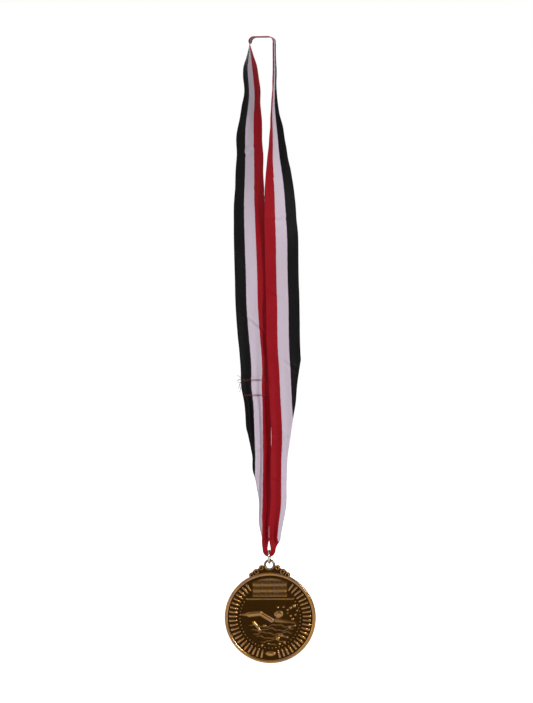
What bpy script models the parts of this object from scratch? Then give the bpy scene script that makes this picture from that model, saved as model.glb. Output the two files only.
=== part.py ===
"""Finisher medal on its neck ribbon, hanging from a hook.

Metres, +Z up, +X to the right. The medal's front faces -Y. The origin is where the ribbon rests
on its hook: the middle of the flat underside at the top of the loop.
"""

import math

import bmesh
import bpy
from mathutils import Matrix, Vector

# Neck ribbon, one woven strip.
RIBBON_WIDTH = 0.022
RIBBON_THICKNESS = 0.0006
FOLD_LOOSENESS = 1.3
RIBBON_DROP = 0.340
TIP_LENGTH = 0.020
BUNDLE_DIAMETER = 0.0030

# The ribbon's top, bent over a hook.
HOOK_WIDTH = 0.0154
CROWN_BEND_RADIUS = 0.003
CROWN_DROP = 0.012

# Sewn lap on the left leg.
LAP_TOP_DEPTH = 0.222
LAP_LENGTH = 0.014
STITCH_ROWS = (0.002, 0.012)
STITCH_PITCH = 0.0013
STITCH_HEIGHT = 0.0009
THREAD_DIAMETER = 0.0004

# Jump ring.
WIRE_DIAMETER = 0.0013
RING_INSIDE_DIAMETER = 0.007

# Medal.
DISC_DIAMETER = 0.060
DISC_THICKNESS = 0.003
RIM_WIDTH = 0.0018
RIM_SLOPE = 0.0005
EDGE_BEVEL = 0.0003
FRONT_RECESS = 0.0008
BACK_RECESS = 0.0006
LOOP_HOLE_RADIUS = 0.00225
LOOP_WALL = 0.0015
LOOP_RISE = 0.0049
LOOP_THICKNESS = 0.002
SHOULDER_THICKNESS = 0.0018
SHOULDER_HALF_WIDTH = 0.0138

# Clearances.
GAP = 0.0003
RING_CLEARANCE = 0.0003
LOOP_CLEARANCE = 0.00035

# Places along the hanging chain, from the hook down.
BUNDLE_Z = -RIBBON_DROP + BUNDLE_DIAMETER / 2
TOP_WIRE_Z = BUNDLE_Z + BUNDLE_DIAMETER / 2 + RING_CLEARANCE + WIRE_DIAMETER / 2
RING_RADIUS = (RING_INSIDE_DIAMETER + WIRE_DIAMETER) / 2
RING_Z = TOP_WIRE_Z - RING_RADIUS
LOW_WIRE_Z = RING_Z - RING_RADIUS
HOLE_Z = LOW_WIRE_Z - (LOOP_HOLE_RADIUS - WIRE_DIAMETER / 2 - LOOP_CLEARANCE)
DISC_RADIUS = DISC_DIAMETER / 2
DISC_Z = HOLE_Z - LOOP_RISE - DISC_RADIUS
LEG_TOP = CROWN_DROP + GAP
LEG_BOTTOM = RIBBON_DROP - TIP_LENGTH

# Each leg from its top to its bottom: the share of its height, its turn in degrees about the
# vertical (0 is edge-on), its width as a share of the flat ribbon's, and its centre's x and y as
# shares of the flat ribbon's width.
LEFT_LEG = (
    (0.00, 10, 1.00, -0.373, 0.000),
    (0.03, 18, 1.00, -0.364, 0.000),
    (0.08, 34, 1.00, -0.350, 0.000),
    (0.155, 47, 1.00, -0.395, 0.014),
    (0.22, 54, 1.00, -0.414, 0.030),
    (0.30, 66, 1.00, -0.436, 0.045),
    (0.35, 78, 1.00, -0.445, 0.055),
    (0.41, 88, 1.00, -0.445, 0.055),
    (0.53, 90, 0.98, -0.445, 0.055),
    (0.60, 90, 0.92, -0.405, 0.055),
    (0.665, 90, 0.83, -0.382, 0.055),
    (0.737, 90, 0.77, -0.373, 0.050),
    (0.785, 90, 0.74, -0.350, 0.041),
    (0.855, 90, 0.65, -0.314, 0.027),
    (0.905, 90, 0.46, -0.223, 0.014),
    (0.95, 90, 0.37, -0.191, 0.005),
    (1.00, 90, 0.24, -0.182, 0.000),
)
RIGHT_LEG = (
    (0.00, 6, 1.00, 0.373, 0.000),
    (0.08, 8, 1.00, 0.386, 0.000),
    (0.155, 26, 1.00, 0.418, -0.014),
    (0.22, 36, 1.00, 0.455, -0.027),
    (0.30, 59, 1.00, 0.500, -0.045),
    (0.35, 76, 1.00, 0.500, -0.055),
    (0.41, 88, 1.00, 0.491, -0.055),
    (0.53, 90, 1.00, 0.491, -0.055),
    (0.60, 90, 0.99, 0.482, -0.055),
    (0.665, 90, 0.92, 0.491, -0.055),
    (0.737, 90, 0.74, 0.445, -0.050),
    (0.785, 90, 0.60, 0.373, -0.041),
    (0.855, 90, 0.49, 0.286, -0.027),
    (0.905, 90, 0.42, 0.250, -0.014),
    (0.95, 90, 0.38, 0.236, -0.005),
    (1.00, 90, 0.34, 0.205, 0.000),
)
STEPS_PER_STATION = 2
SECTION_POINTS = 12
ROUND_STEPS = 96


def clear_scene():
    for obj in list(bpy.data.objects):
        bpy.data.objects.remove(obj, do_unlink=True)


def new_collection(name):
    collection = bpy.data.collections.new(name)
    bpy.context.scene.collection.children.link(collection)
    return collection


def new_material(name, colour, roughness, metallic=0.0):
    material = bpy.data.materials.new(name)
    material.use_nodes = True
    shader = material.node_tree.nodes["Principled BSDF"]
    shader.inputs["Base Color"].default_value = (*colour, 1.0)
    shader.inputs["Roughness"].default_value = roughness
    shader.inputs["Metallic"].default_value = metallic
    return material


def add_object(name, mesh, collection, material=None):
    obj = bpy.data.objects.new(name, mesh)
    collection.objects.link(obj)
    if material:
        mesh.materials.append(material)
    return obj


def add_cutter(name, mesh):
    obj = add_object(name, mesh, cutters)
    obj.hide_render = True
    obj.display_type = "WIRE"
    return obj


def add_pivot(name, z, parent=None):
    """An empty on a joint's axis, carried by the pivot before it in the chain."""
    pivot = bpy.data.objects.new(name, None)
    parts.objects.link(pivot)
    pivot.location = (0, 0, z)
    if parent:
        carry(pivot, parent)
    return pivot


def carry(obj, pivot):
    """Parents obj to a pivot and leaves it where it is."""
    bpy.context.view_layer.update()
    obj.parent = pivot
    obj.matrix_parent_inverse = pivot.matrix_world.inverted()


def mesh_from(bm, name):
    mesh = bpy.data.meshes.new(name)
    bmesh.ops.recalc_face_normals(bm, faces=bm.faces)
    bm.to_mesh(mesh)
    bm.free()
    return mesh


def shade_round(mesh, degrees=35):
    mesh.shade_smooth()
    mesh.set_sharp_from_angle(angle=math.radians(degrees))


def between(stations, steps):
    """The stations with points added between them on a smooth curve through all of them."""
    last = len(stations) - 1
    found = []
    for i in range(last):
        before = stations[max(i - 1, 0)]
        after = stations[min(i + 2, last)]
        for k in range(steps):
            t = k / steps
            row = []
            for p0, p1, p2, p3 in zip(before, stations[i], stations[i + 1], after):
                bend = 2 * p0 - 5 * p1 + 4 * p2 - p3
                turn = 3 * (p1 - p2) + p3 - p0
                row.append(0.5 * (2 * p1 + (p2 - p0) * t + bend * t * t + turn * t**3))
            found.append(tuple(row))
    found.append(stations[last])
    return found


def section(centre, across, through, width, thickness):
    """Points round a flat closed section with rounded sides, widest along across."""
    points = []
    squareness = 0.5 if width > 1.5 * thickness else 1.0
    for k in range(SECTION_POINTS):
        a = 2 * math.pi * k / SECTION_POINTS
        u = math.copysign(abs(math.cos(a)) ** squareness, math.cos(a))
        v = math.copysign(abs(math.sin(a)) ** squareness, math.sin(a))
        points.append(centre + across * (u * width / 2) + through * (v * thickness / 2))
    return points


def loft(name, sections):
    """A closed skin through sections that have the same number of points."""
    bm = bmesh.new()
    rings = [[bm.verts.new(p) for p in points] for points in sections]
    for low, high in zip(rings, rings[1:]):
        for k in range(len(low)):
            j = (k + 1) % len(low)
            bm.faces.new((low[k], low[j], high[j], high[k]))
    bm.faces.new(rings[0])
    bm.faces.new(rings[-1])
    return mesh_from(bm, name)


def folded_thickness(width):
    """Thickness of the cloth where the strip is gathered to this width."""
    return RIBBON_WIDTH * RIBBON_THICKNESS * FOLD_LOOSENESS / width


def leg_section(station, side):
    share, turn, gather, x, y = station
    z = -LEG_TOP - share * (LEG_BOTTOM - LEG_TOP)
    angle = -side * math.radians(turn)
    across = Vector((-math.sin(angle), math.cos(angle), 0))
    through = Vector((math.cos(angle), math.sin(angle), 0))
    width = RIBBON_WIDTH * gather
    centre = Vector((RIBBON_WIDTH * x, RIBBON_WIDTH * y, z))
    return centre, across, through, width, folded_thickness(width)


def station_at(stations, depth):
    """The leg's station at this depth below the hook seat."""
    share = (depth - LEG_TOP) / (LEG_BOTTOM - LEG_TOP)
    fine = between(stations, 8)
    for low, high in zip(fine, fine[1:]):
        if low[0] <= share <= high[0]:
            t = (share - low[0]) / (high[0] - low[0])
            return tuple(a + (b - a) * t for a, b in zip(low, high))
    return fine[-1]


def make_leg(name, stations, side):
    fine = between(stations, STEPS_PER_STATION)
    mesh = loft(name, [section(*leg_section(s, side)) for s in fine])
    shade_round(mesh)
    return add_object(name, mesh, parts, cloth)


def make_crown():
    """The strip where it is bent over the hook: its underside, given its thickness outwards."""
    inside = HOOK_WIDTH / 2
    bend = CROWN_BEND_RADIUS
    path = [(-inside, -CROWN_DROP)]
    for k in range(7):
        a = math.radians(180 - 15 * k)
        path.append((-inside + bend + bend * math.cos(a), -bend + bend * math.sin(a)))
    path += [(-x, z) for x, z in reversed(path)]
    bm = bmesh.new()
    rows = []
    for y in (-RIBBON_WIDTH / 2, RIBBON_WIDTH / 2):
        rows.append([bm.verts.new((x, y, z)) for x, z in path])
    for k in range(len(path) - 1):
        bm.faces.new((rows[0][k], rows[0][k + 1], rows[1][k + 1], rows[1][k]))
    mesh = bpy.data.meshes.new("ribbon_crown")
    bm.to_mesh(mesh)
    bm.free()
    shade_round(mesh)
    crown = add_object("ribbon_crown", mesh, parts, cloth)
    wall = crown.modifiers.new("cloth", "SOLIDIFY")
    wall.thickness = RIBBON_THICKNESS
    wall.offset = 1
    wall.use_even_offset = True
    return crown


def make_lap():
    """The strip's other end, laid over the front of the left leg."""
    sections = []
    for k in range(4):
        depth = LAP_TOP_DEPTH + LAP_LENGTH * k / 3
        centre, across, through, width, thickness = leg_section(station_at(LEFT_LEG, depth), -1)
        forward = thickness / 2 + GAP + RIBBON_THICKNESS / 2
        front = Vector((0, -forward, 0))
        sections.append(section(centre + front, across, through, 0.96 * width, RIBBON_THICKNESS))
    mesh = loft("ribbon_lap_end", sections)
    shade_round(mesh)
    return add_object("ribbon_lap_end", mesh, parts, cloth)


def make_stitch_row(name, row):
    """One row of zigzag stitches across the lap: a single thread lying on the cloth."""
    depth = LAP_TOP_DEPTH + row
    centre, across, through, width, thickness = leg_section(station_at(LEFT_LEG, depth), -1)
    y = centre.y - thickness / 2 - RIBBON_THICKNESS - 2 * GAP - THREAD_DIAMETER / 2
    count = int(0.84 * width / STITCH_PITCH)
    curve = bpy.data.curves.new(name, "CURVE")
    curve.dimensions = "3D"
    curve.bevel_depth = THREAD_DIAMETER / 2
    curve.bevel_resolution = 2
    curve.use_fill_caps = True
    spline = curve.splines.new("POLY")
    spline.points.add(count)
    for k, point in enumerate(spline.points):
        x = centre.x + (k - count / 2) * STITCH_PITCH
        z = -depth + (STITCH_HEIGHT / 2 if k % 2 else -STITCH_HEIGHT / 2)
        point.co = (x, y, z, 1)
    return add_object(name, curve, parts, thread)


def tip_run(leg, side, bend, steps=5):
    """Sections down one side of the tip, from the leg's end to where the bundle starts to turn."""
    centre, across, through, leg_width, leg_thickness = leg
    top = -LEG_BOTTOM - GAP
    run = []
    for k in range(steps):
        t = k / steps
        ease = t * t * (3 - 2 * t)
        x = centre.x + (side * bend - centre.x) * ease
        z = top + (TOP_WIRE_Z - top) * t
        width = leg_width + (BUNDLE_DIAMETER - leg_width) * ease
        thickness = leg_thickness + (BUNDLE_DIAMETER - leg_thickness) * ease
        run.append((Vector((x, 0, z)), Vector((side, 0, 0)), width, thickness))
    return run


def make_tip(arc_steps=8):
    """The strip's gathered end: two narrow legs that meet in a round bundle under the ring's wire."""
    bend = BUNDLE_DIAMETER / 2 + RING_CLEARANCE + WIRE_DIAMETER / 2
    down = tip_run(leg_section(LEFT_LEG[-1], -1), -1, bend)
    up = tip_run(leg_section(RIGHT_LEG[-1], 1), 1, bend)
    turn = []
    for k in range(arc_steps + 1):
        a = math.pi + math.pi * k / arc_steps
        outward = Vector((math.cos(a), 0, math.sin(a)))
        centre = Vector((0, 0, TOP_WIRE_Z)) + outward * bend
        turn.append((centre, outward, BUNDLE_DIAMETER, BUNDLE_DIAMETER))
    through = Vector((0, 1, 0))
    stations = down + turn + up[::-1]
    rings = [section(c, across, through, w, t) for c, across, w, t in stations]
    mesh = loft("ribbon_tip", rings)
    shade_round(mesh)
    return add_object("ribbon_tip", mesh, parts, cloth)


def make_jump_ring():
    bpy.ops.mesh.primitive_torus_add(
        major_segments=40,
        minor_segments=12,
        major_radius=RING_RADIUS,
        minor_radius=WIRE_DIAMETER / 2,
        location=(0, 0, RING_Z),
        rotation=(0, math.pi / 2, 0),
    )
    ring = bpy.context.object
    ring.name = ring.data.name = "jump_ring"
    ring.data.materials.append(silver)
    ring.data.shade_smooth()
    for collection in list(ring.users_collection):
        collection.objects.unlink(ring)
    parts.objects.link(ring)
    return ring


def disc_profile():
    """Half of the disc's section, from the middle of the front out over the rim to the back."""
    half = DISC_THICKNESS / 2
    inner = DISC_RADIUS - RIM_WIDTH
    front_field = half - FRONT_RECESS
    back_field = half - BACK_RECESS
    return (
        (0, front_field),
        (inner - RIM_SLOPE, front_field),
        (inner, half),
        (DISC_RADIUS - EDGE_BEVEL, half),
        (DISC_RADIUS, half - EDGE_BEVEL),
        (DISC_RADIUS, EDGE_BEVEL - half),
        (DISC_RADIUS - EDGE_BEVEL, -half),
        (inner, -half),
        (inner - RIM_SLOPE, -back_field),
        (0, -back_field),
    )


def shoulder_outline():
    """The scroll plate that carries the loop, as its right half from inside the rim up to the loop."""
    root = DISC_RADIUS - RIM_WIDTH / 2
    spread = math.asin(SHOULDER_HALF_WIDTH / DISC_RADIUS)
    arc = [(root * math.sin(spread * k / 8), root * math.cos(spread * k / 8)) for k in range(9)]
    top = DISC_RADIUS
    eye = top + LOOP_RISE
    scroll = [
        (0.956 * SHOULDER_HALF_WIDTH, top - 0.0016),
        (0.862 * SHOULDER_HALF_WIDTH, top + 0.0006),
        (0.754 * SHOULDER_HALF_WIDTH, top + 0.0021),
        (0.652 * SHOULDER_HALF_WIDTH, top + 0.0024),
        (0.580 * SHOULDER_HALF_WIDTH, top + 0.0019),
        (0.536 * SHOULDER_HALF_WIDTH, top + 0.0030),
        (0.464 * SHOULDER_HALF_WIDTH, eye - 0.0008),
        (0.377 * SHOULDER_HALF_WIDTH, eye - 0.0002),
        (0.290 * SHOULDER_HALF_WIDTH, eye - 0.0010),
        (0.217 * SHOULDER_HALF_WIDTH, eye),
        (0, eye + 0.0010),
    ]
    return arc + scroll


def make_shoulder_plate():
    half = [Vector((x, -SHOULDER_THICKNESS / 2, z)) for x, z in shoulder_outline()]
    mirrored = [Vector((-p.x, p.y, p.z)) for p in reversed(half) if p.x > 1e-9]
    bm = bmesh.new()
    face = bm.faces.new([bm.verts.new(p) for p in half + mirrored])
    grown = bmesh.ops.extrude_face_region(bm, geom=[face])
    moved = [v for v in grown["geom"] if isinstance(v, bmesh.types.BMVert)]
    bmesh.ops.translate(bm, verts=moved, vec=(0, SHOULDER_THICKNESS, 0))
    bmesh.ops.triangulate(bm, faces=[f for f in bm.faces if len(f.verts) > 4])
    return mesh_from(bm, "shoulder_plate")


def cylinder_along_y(name, radius, length, z, segments=48):
    bm = bmesh.new()
    turn = Matrix.Rotation(math.pi / 2, 4, "X")
    bmesh.ops.create_cone(
        bm,
        cap_ends=True,
        segments=segments,
        radius1=radius,
        radius2=radius,
        depth=length,
        matrix=Matrix.Translation((0, 0, z)) @ turn,
    )
    return mesh_from(bm, name)


def add_boolean(obj, other, operation):
    step = obj.modifiers.new(other.name, "BOOLEAN")
    step.object = other
    step.operation = operation
    step.solver = "EXACT"


def make_medal():
    """The casting: a turned disc, the scroll plate and the loop, joined and then bored."""
    bm = bmesh.new()
    points = [bm.verts.new((r, 0, height)) for r, height in disc_profile()]
    for a, b in zip(points, points[1:]):
        bm.edges.new((a, b))
    mesh = bpy.data.meshes.new("medal")
    bm.to_mesh(mesh)
    bm.free()
    medal = add_object("medal", mesh, parts, gold)
    medal.rotation_euler = (math.pi / 2, 0, 0)
    medal.location = (0, 0, DISC_Z)
    screw = medal.modifiers.new("turned", "SCREW")
    screw.steps = screw.render_steps = ROUND_STEPS
    screw.use_merge_vertices = True
    screw.merge_threshold = 0.00001
    plate = add_cutter("shoulder_plate", make_shoulder_plate())
    plate.location = (0, 0, DISC_Z)
    eye = add_cutter(
        "loop_eye",
        cylinder_along_y("loop_eye", LOOP_HOLE_RADIUS + LOOP_WALL, LOOP_THICKNESS, HOLE_Z),
    )
    hole = add_cutter(
        "loop_hole",
        cylinder_along_y("loop_hole", LOOP_HOLE_RADIUS, 2 * LOOP_THICKNESS, HOLE_Z),
    )
    add_boolean(plate, eye, "UNION")
    add_boolean(medal, plate, "UNION")
    add_boolean(medal, hole, "DIFFERENCE")
    return medal


clear_scene()
parts = new_collection("finisher_medal")
cutters = new_collection("cutters")
cloth = new_material("woven_ribbon", (0.32, 0.03, 0.04), 0.7)
thread = new_material("sewing_thread", (0.20, 0.02, 0.05), 0.6)
silver = new_material("pale_ring_wire", (0.75, 0.68, 0.60), 0.25, 1.0)
gold = new_material("antique_gold", (0.42, 0.24, 0.07), 0.32, 1.0)

make_crown()
make_leg("ribbon_left_leg", LEFT_LEG, -1)
make_leg("ribbon_right_leg", RIGHT_LEG, 1)
make_lap()
make_stitch_row("seam_thread_upper", STITCH_ROWS[0])
make_stitch_row("seam_thread_lower", STITCH_ROWS[1])

# The chain below the ribbon: its tip twists, the ring rocks on the tip, the medal swings on the ring.
twist_axis = add_pivot("ribbon_twist_axis", -LEG_BOTTOM)
rock_axis = add_pivot("ring_rock_axis", BUNDLE_Z, twist_axis)
swing_axis = add_pivot("medal_swing_axis", LOW_WIRE_Z, rock_axis)
carry(make_tip(), twist_axis)
carry(make_jump_ring(), rock_axis)
carry(make_medal(), swing_axis)
for cutter in cutters.objects:
    carry(cutter, swing_axis)
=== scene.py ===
"""Finisher medal on its neck ribbon: the looks, piece by piece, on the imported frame."""

import math

import bmesh
import bpy
import numpy as np
from mathutils import Matrix, Vector, noise


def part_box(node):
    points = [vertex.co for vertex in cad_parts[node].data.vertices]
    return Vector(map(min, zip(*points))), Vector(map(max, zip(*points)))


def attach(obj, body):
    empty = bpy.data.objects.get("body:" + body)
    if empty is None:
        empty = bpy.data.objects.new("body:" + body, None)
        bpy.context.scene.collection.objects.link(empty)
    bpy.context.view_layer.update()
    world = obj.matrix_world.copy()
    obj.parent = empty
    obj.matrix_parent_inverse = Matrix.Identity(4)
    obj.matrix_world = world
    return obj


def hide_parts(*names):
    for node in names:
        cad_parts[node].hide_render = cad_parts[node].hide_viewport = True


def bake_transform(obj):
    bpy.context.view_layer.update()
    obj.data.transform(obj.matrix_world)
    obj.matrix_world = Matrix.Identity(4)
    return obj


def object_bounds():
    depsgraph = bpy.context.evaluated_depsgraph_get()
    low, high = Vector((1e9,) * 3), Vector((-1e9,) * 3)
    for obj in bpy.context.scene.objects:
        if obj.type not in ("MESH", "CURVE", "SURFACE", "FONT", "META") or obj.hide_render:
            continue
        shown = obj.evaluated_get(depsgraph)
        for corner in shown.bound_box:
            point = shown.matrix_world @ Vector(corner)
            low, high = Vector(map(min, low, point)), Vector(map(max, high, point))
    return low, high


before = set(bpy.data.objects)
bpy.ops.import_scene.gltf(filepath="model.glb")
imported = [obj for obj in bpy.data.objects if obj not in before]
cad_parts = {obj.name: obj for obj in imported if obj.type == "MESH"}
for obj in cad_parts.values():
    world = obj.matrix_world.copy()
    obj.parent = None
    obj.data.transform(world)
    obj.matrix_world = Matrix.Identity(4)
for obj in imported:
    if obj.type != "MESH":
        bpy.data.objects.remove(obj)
cad_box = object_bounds()


# ---- Disc ----------------------------------------------------------------------------------
# The body of the medal, a coin cast in zinc alloy and plated in antique gold. Its rim stands
# up on both faces and is polished by hand, and the field between is sunk and left dark.

MM = 0.001
medal_low, medal_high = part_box("medal")
disc_radius = medal_high.x
disc_z = medal_low.z + disc_radius
face_y = medal_high.y
rim_width = 1.8 * MM
rim_slope = 0.6 * MM
rim_round = 0.5 * MM
front_sink = 0.8 * MM
back_sink = 0.6 * MM
field_radius = disc_radius - rim_width - rim_slope


def select_only(*objects):
    bpy.ops.object.select_all(action="DESELECT")
    for obj in objects:
        obj.select_set(True)
    bpy.context.view_layer.objects.active = objects[0]


def settle(obj, name):
    """Names a piece and puts its place, turn and size into its mesh."""
    obj.name = obj.data.name = name
    select_only(obj)
    bpy.ops.object.transform_apply(location=True, rotation=True, scale=True)
    return obj


def begin_edit(obj, mode="FACE"):
    select_only(obj)
    bpy.ops.object.mode_set(mode="EDIT")
    bpy.ops.mesh.select_mode(type=mode)
    bpy.ops.mesh.select_all(action="DESELECT")


def pick_faces(obj, test):
    bm = bmesh.from_edit_mesh(obj.data)
    for face in bm.faces:
        face.select_set(test(face.calc_center_median(), face.normal))
    bmesh.update_edit_mesh(obj.data)


def pick_edges(obj, test):
    bm = bmesh.from_edit_mesh(obj.data)
    for edge in bm.edges:
        edge.select_set(test(edge.verts[0].co, edge.verts[1].co))
    bmesh.update_edit_mesh(obj.data)


def end_edit(recalculate=False):
    if recalculate:
        bpy.ops.mesh.select_all(action="SELECT")
        bpy.ops.mesh.normals_make_consistent(inside=False)
    bpy.ops.object.mode_set(mode="OBJECT")


def apply_modifier(obj, kind, **values):
    select_only(obj)
    modifier = obj.modifiers.new(kind.lower(), kind)
    for key, value in values.items():
        setattr(modifier, key, value)
    bpy.ops.object.modifier_apply(modifier=modifier.name)


def smooth_shade(obj, degrees=40):
    select_only(obj)
    bpy.ops.object.shade_smooth_by_angle(angle=math.radians(degrees))


def radius_at(point):
    return math.hypot(point.x, point.z - disc_z)


def new_group(name, inputs, outputs):
    """An empty shader group with the named sockets, as (kind, name, default) and (kind, name)."""
    group = bpy.data.node_groups.new(name, "ShaderNodeTree")
    for kind, socket, value in inputs:
        made = group.interface.new_socket(socket, in_out="INPUT", socket_type=kind)
        made.default_value = value
    for kind, socket in outputs:
        group.interface.new_socket(socket, in_out="OUTPUT", socket_type=kind)
    entry = group.nodes.new("NodeGroupInput")
    result = group.nodes.new("NodeGroupOutput")
    return group, entry, result


def add_node(tree, kind, inputs=None, **settings):
    """A node with its settings, and its inputs set to values or linked from sockets."""
    node = tree.nodes.new(kind)
    for key, value in settings.items():
        setattr(node, key, value)
    for key, value in (inputs or {}).items():
        if isinstance(value, bpy.types.NodeSocket):
            tree.links.new(value, node.inputs[key])
        else:
            node.inputs[key].default_value = value
    return node


def add_math(tree, operation, *values):
    node = add_node(tree, "ShaderNodeMath", dict(enumerate(values)), operation=operation)
    return node.outputs[0]


def add_noise(tree, place, scale, detail, roughness=0.5):
    values = {"Vector": place, "Scale": scale, "Detail": detail, "Roughness": roughness}
    return add_node(tree, "ShaderNodeTexNoise", values).outputs["Fac"]


def add_range(tree, value, low, high, to_low=0.0, to_high=1.0, kind="LINEAR"):
    """A value carried from one range of numbers to another, and held at both its ends."""
    values = {"Value": value, "From Min": low, "From Max": high, "To Min": to_low, "To Max": to_high}
    return add_node(tree, "ShaderNodeMapRange", values, interpolation_type=kind).outputs["Result"]


def add_mix(tree, share, first, second, blend="MIX"):
    """A blend of two colours; the node's colour sockets are its seventh and eighth."""
    values = {0: share, 6: first, 7: second}
    return add_node(tree, "ShaderNodeMix", values, data_type="RGBA", blend_type=blend).outputs[2]


def add_bump(tree, height, strength, distance):
    values = {"Height": height, "Strength": strength, "Distance": distance}
    return add_node(tree, "ShaderNodeBump", values).outputs["Normal"]


def patina_group():
    """Mask of the dark patina: 1 in the recesses, 0 on what hands and the buff have polished."""
    group, entry, result = new_group(
        "patina_mask",
        [
            ("NodeSocketVector", "Place", (0, 0, 0)),
            ("NodeSocketFloat", "Low", 0.0008),
            ("NodeSocketFloat", "High", 0.0014),
            ("NodeSocketFloat", "Back lift", -0.00012),
        ],
        [("NodeSocketFloat", "Mask")],
    )
    place = entry.outputs["Place"]
    split = add_node(group, "ShaderNodeSeparateXYZ", {0: place})
    front = add_math(group, "SUBTRACT", 0.0, split.outputs["Y"])
    back = add_math(group, "SUBTRACT", split.outputs["Y"], entry.outputs["Back lift"])
    level = add_math(group, "MAXIMUM", front, back)
    cloud = add_noise(group, place, 900.0, 4.0, 0.6)
    spread = add_math(group, "MULTIPLY_ADD", cloud, 0.0004, -0.0002)
    uneven = add_math(group, "ADD", level, spread)
    low, high = entry.outputs["Low"], entry.outputs["High"]
    mask = add_range(group, uneven, low, high, 1.0, 0.0, "SMOOTHSTEP")
    group.links.new(mask, result.inputs["Mask"])
    return group


def cast_grain_group():
    """Height of the grain that the mould leaves on the back's sunk field, and faintly elsewhere."""
    group, entry, result = new_group(
        "cast_grain",
        [
            ("NodeSocketVector", "Place", (0, 0, 0)),
            ("NodeSocketFloat", "Pitch", 0.0009),
            ("NodeSocketFloat", "Radius", 0.027),
            ("NodeSocketFloat", "Centre", -0.38),
        ],
        [("NodeSocketFloat", "Height")],
    )
    place = entry.outputs["Place"]
    per_metre = add_math(group, "DIVIDE", 1.0, entry.outputs["Pitch"])
    pebbles = add_node(
        group,
        "ShaderNodeTexVoronoi",
        {"Vector": place, "Scale": per_metre, "Randomness": 1.0},
        feature="SMOOTH_F1",
    )
    fine = add_noise(group, place, per_metre, 3.0)
    split = add_node(group, "ShaderNodeSeparateXYZ", {0: place})
    rise = add_math(group, "SUBTRACT", split.outputs["Z"], entry.outputs["Centre"])
    flat = add_node(group, "ShaderNodeCombineXYZ", {"X": split.outputs["X"], "Z": rise})
    distance = add_node(group, "ShaderNodeVectorMath", {0: flat.outputs[0]}, operation="LENGTH")
    inside = add_math(group, "LESS_THAN", distance.outputs["Value"], entry.outputs["Radius"])
    behind = add_math(group, "GREATER_THAN", split.outputs["Y"], 0.0004)
    field = add_math(group, "MULTIPLY", inside, behind)
    mixed = add_math(group, "ADD", pebbles.outputs["Distance"], fine)
    strength = add_math(group, "MULTIPLY_ADD", field, 0.92, 0.08)
    height = add_math(group, "MULTIPLY", mixed, strength)
    group.links.new(height, result.inputs["Height"])
    return group


patina = patina_group()
cast_grain = cast_grain_group()


def new_material(name):
    material = bpy.data.materials.new(name)
    material.use_nodes = True
    tree = material.node_tree
    return material, tree, tree.nodes["Principled BSDF"]


def antique_gold(name, low, high):
    """Gold plate toned dark brown in the recesses, between two heights from the disc's middle."""
    material, tree, shader = new_material(name)
    place = add_node(tree, "ShaderNodeTexCoord").outputs["Object"]
    tone = add_node(tree, "ShaderNodeGroup", node_tree=patina)
    tree.links.new(place, tone.inputs["Place"])
    tone.inputs["Low"].default_value = low
    tone.inputs["High"].default_value = high
    grain = add_node(tree, "ShaderNodeGroup", node_tree=cast_grain)
    tree.links.new(place, grain.inputs["Place"])
    grain.inputs["Radius"].default_value = field_radius
    grain.inputs["Centre"].default_value = disc_z
    smear = add_noise(tree, place, 150.0, 5.0, 0.65)
    rubbed = add_range(tree, smear, 0.42, 0.62)
    bright = add_mix(tree, rubbed, (0.66, 0.34, 0.085, 1), (0.54, 0.30, 0.165, 1))
    colour = add_mix(tree, tone.outputs["Mask"], bright, (0.068, 0.028, 0.005, 1))
    tree.links.new(colour, shader.inputs["Base Color"])
    shader.inputs["Metallic"].default_value = 1.0
    dull = add_range(tree, tone.outputs["Mask"], 0.0, 1.0, 0.15, 0.36)
    patchy = add_math(tree, "MULTIPLY_ADD", smear, 0.16, dull)
    tree.links.new(patchy, shader.inputs["Roughness"])
    normal = add_bump(tree, grain.outputs["Height"], 0.9, 0.00016)
    tree.links.new(normal, shader.inputs["Normal"])
    return material


def finish(obj, material, body):
    obj.data.materials.clear()
    obj.data.materials.append(material)
    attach(obj, body)
    return obj


gold = antique_gold("antique_gold_plate", 0.88 * MM, 1.34 * MM)

bpy.ops.mesh.primitive_cylinder_add(
    vertices=192,
    radius=disc_radius,
    depth=2 * face_y,
    location=(0, 0, disc_z),
    rotation=(math.pi / 2, 0, 0),
)
disc = settle(bpy.context.object, "disc")
begin_edit(disc)
for side, sink in ((-1, front_sink), (1, back_sink)):
    pick_faces(disc, lambda centre, normal: normal.y * side > 0.9)
    bpy.ops.mesh.inset(thickness=rim_width)
    bpy.ops.mesh.inset(thickness=rim_slope, depth=-sink)
end_edit()
begin_edit(disc, "EDGE")
pick_edges(
    disc,
    lambda a, b: abs(radius_at(a) - radius_at(b)) < 1e-6
    and min(abs(a.y), abs(b.y)) > face_y - 1e-6,
)
bpy.ops.mesh.bevel(offset=rim_round, segments=4, affect="EDGES")
end_edit()
smooth_shade(disc, 35)
finish(disc, gold, "medal")
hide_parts("medal")


# ---- Front relief --------------------------------------------------------------------------
# The low relief struck in the front field, a swimmer of no one in particular at the crawl, over
# lines of water and under a plain fluted panel. It is part of the casting, worked in the mould.

field_y = -(face_y - front_sink)
relief_step = 0.24 * MM
relief_margin = 0.25 * MM
relief_root = 0.3 * MM
smoothings = 3


def limb(x, z, a, b, start_radius, end_radius, height):
    """Height over the field, in mm, of a rounded limb from a to b."""
    run_x = b[0] - a[0]
    run_z = b[1] - a[1]
    t = np.clip(((x - a[0]) * run_x + (z - a[1]) * run_z) / (run_x**2 + run_z**2), 0, 1)
    away = np.hypot(x - a[0] - run_x * t, z - a[1] - run_z * t)
    radius = start_radius + (end_radius - start_radius) * t
    top = height * (radius / max(start_radius, end_radius)) ** 0.5
    return top * np.sqrt(np.clip(1 - (away / radius) ** 2, 0, None))


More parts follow.
